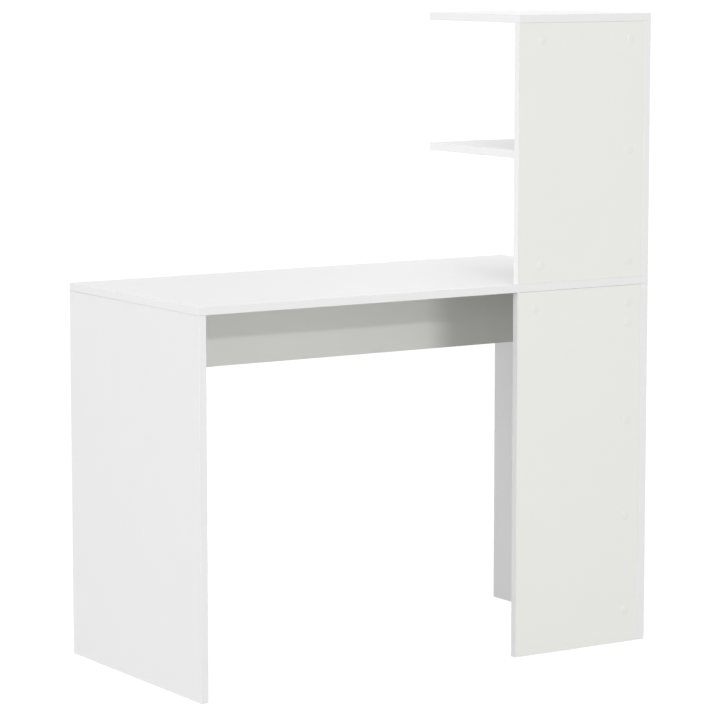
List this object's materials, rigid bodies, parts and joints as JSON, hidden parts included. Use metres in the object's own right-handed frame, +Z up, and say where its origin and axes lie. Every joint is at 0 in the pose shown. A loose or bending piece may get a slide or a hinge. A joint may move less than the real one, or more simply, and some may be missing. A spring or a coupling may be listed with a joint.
{
  "type": "corner desk",
  "caption": "Flat-pack corner desk: plain slab sides, modesty rail and a narrow two-bay shelf tower standing on the right end of the desktop.",
  "frame": {"origin": "on the floor, below the centre of the desktop's outline", "axes": "+X to the right along the desktop towards the shelf tower, +Y to the rear, +Z up; the sitter is on the -Y side"},
  "size_m": [1.02, 0.5, 1.245],
  "materials": {
    "melamine_board": "white melamine laminate on chipboard, satin, with glued edge bands",
    "zinc_cam": "die-cast zinc, dull",
    "steel_bolt": "bright zinc-plated steel"
  },
  "bodies": {
    "root": {"left_side_panel": "melamine_board", "right_side_panel": "melamine_board", "desktop": "melamine_board", "modesty_rail": "melamine_board", "lower_corner_panel": "melamine_board", "upper_corner_panel": "melamine_board", "upper_side_panel": "melamine_board", "middle_shelf": "melamine_board", "top_board": "melamine_board", "cam_left_top_front": "zinc_cam", "cam_left_top_rear": "zinc_cam", "cam_right_top_front": "zinc_cam", "cam_right_top_rear": "zinc_cam", "cam_lower_corner_top_left": "zinc_cam", "cam_lower_corner_top_right": "zinc_cam", "cam_lower_corner_side_1": "zinc_cam", "cam_lower_corner_side_2": "zinc_cam", "cam_lower_corner_side_3": "zinc_cam", "cam_lower_corner_side_4": "zinc_cam", "cam_rail_left_lower": "zinc_cam", "cam_rail_left_upper": "zinc_cam", "cam_rail_right_lower": "zinc_cam", "cam_rail_right_upper": "zinc_cam", "cam_upper_corner_bottom": "zinc_cam", "cam_upper_corner_top": "zinc_cam", "cam_upper_side_bottom_front": "zinc_cam", "cam_upper_side_bottom_rear": "zinc_cam", "cam_upper_side_top_front": "zinc_cam", "cam_upper_side_top_rear": "zinc_cam", "cam_upper_corner_side_1": "zinc_cam", "cam_upper_corner_side_2": "zinc_cam", "cam_upper_corner_side_3": "zinc_cam", "cam_shelf_corner": "zinc_cam", "cam_shelf_side": "zinc_cam", "bolt_left_top_front": "steel_bolt", "bolt_left_top_rear": "steel_bolt", "bolt_right_top_front": "steel_bolt", "bolt_right_top_rear": "steel_bolt", "bolt_lower_corner_top_left": "steel_bolt", "bolt_lower_corner_top_right": "steel_bolt", "bolt_lower_corner_side_1": "steel_bolt", "bolt_lower_corner_side_2": "steel_bolt", "bolt_lower_corner_side_3": "steel_bolt", "bolt_lower_corner_side_4": "steel_bolt", "bolt_rail_left_lower": "steel_bolt", "bolt_rail_left_upper": "steel_bolt", "bolt_rail_right_lower": "steel_bolt", "bolt_rail_right_upper": "steel_bolt", "bolt_upper_corner_bottom": "steel_bolt", "bolt_upper_corner_top": "steel_bolt", "bolt_upper_side_bottom_front": "steel_bolt", "bolt_upper_side_bottom_rear": "steel_bolt", "bolt_upper_side_top_front": "steel_bolt", "bolt_upper_side_top_rear": "steel_bolt", "bolt_upper_corner_side_1": "steel_bolt", "bolt_upper_corner_side_2": "steel_bolt", "bolt_upper_corner_side_3": "steel_bolt", "bolt_shelf_corner": "steel_bolt", "bolt_shelf_side": "steel_bolt"}
  },
  "joints": []
}
